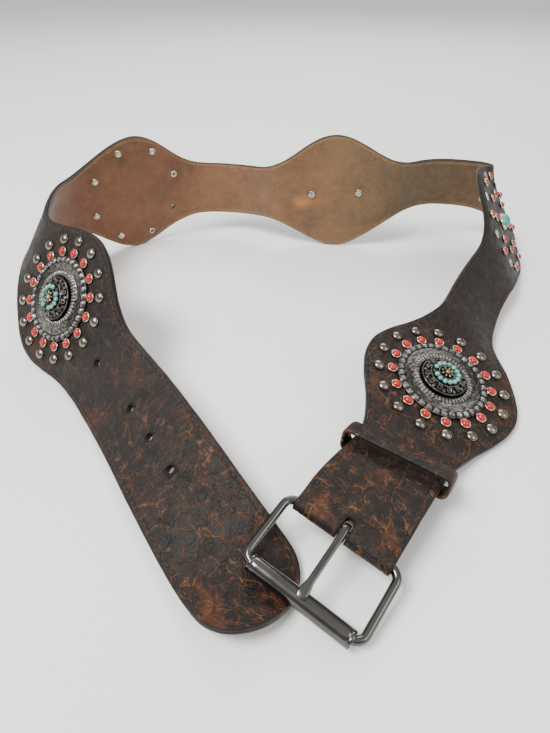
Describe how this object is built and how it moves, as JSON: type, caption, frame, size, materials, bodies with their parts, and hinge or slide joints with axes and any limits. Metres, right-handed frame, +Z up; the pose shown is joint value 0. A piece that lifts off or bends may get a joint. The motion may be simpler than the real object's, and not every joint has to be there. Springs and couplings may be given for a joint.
{
  "type": "concho belt",
  "caption": "Scalloped leather belt lying in an open loop, with round silver conchos, coral studs, turquoise cabochons, a keeper and a roller buckle.",
  "frame": {"origin": "on the surface the belt lies on, under the middle of its bounding box", "axes": "+Z up from the surface; +Y from the buckle and tip at the front towards the back of the loop; +X to the right as seen from the front"},
  "size_m": [0.3978, 0.405, 0.0972],
  "materials": {
    "face_leather": "distressed dark brown to black, cracked, with rust patches",
    "lining": "matte brown suede with a tan border",
    "keeper": "worn dark brown",
    "concho_silver": "antique silver with dark recesses",
    "coral": "polished coral red in silver cups",
    "turquoise": "polished turquoise in a silver bezel",
    "buckle_metal": "polished dark nickel"
  },
  "bodies": {
    "root": {"face_leather": "face_leather", "lining": "lining", "keeper_loop": "keeper", "concho_5": "concho_silver", "concho_3": "concho_silver", "concho_1": "concho_silver", "stud_field_4": "coral", "stud_field_2": "coral", "turquoise_4": "turquoise", "turquoise_2": "turquoise"},
    "frame": {"buckle_frame": "buckle_metal"},
    "prong": {"buckle_prong": "buckle_metal"},
    "roller": {"buckle_roller": "buckle_metal"}
  },
  "joints": [
    {"name": "frame_hinge", "type": "hinge", "parent": "root", "child": "frame", "pos_m": [0.01577, -0.15726, 0.01701], "axis": [-0.8068, 0.5595, 0.1896], "range_deg": [0, 50]},
    {"name": "prong_hinge", "type": "hinge", "parent": "frame", "child": "prong", "pos_m": [0.01577, -0.15726, 0.01701], "axis": [-0.8068, 0.5595, 0.1896], "range_deg": [0, 50]},
    {"name": "roller_spin", "type": "hinge", "parent": "frame", "child": "roller", "pos_m": [-0.0046, -0.18451, 0.01074], "axis": [-0.8068, 0.5595, 0.1896], "continuous": true}
  ]
}
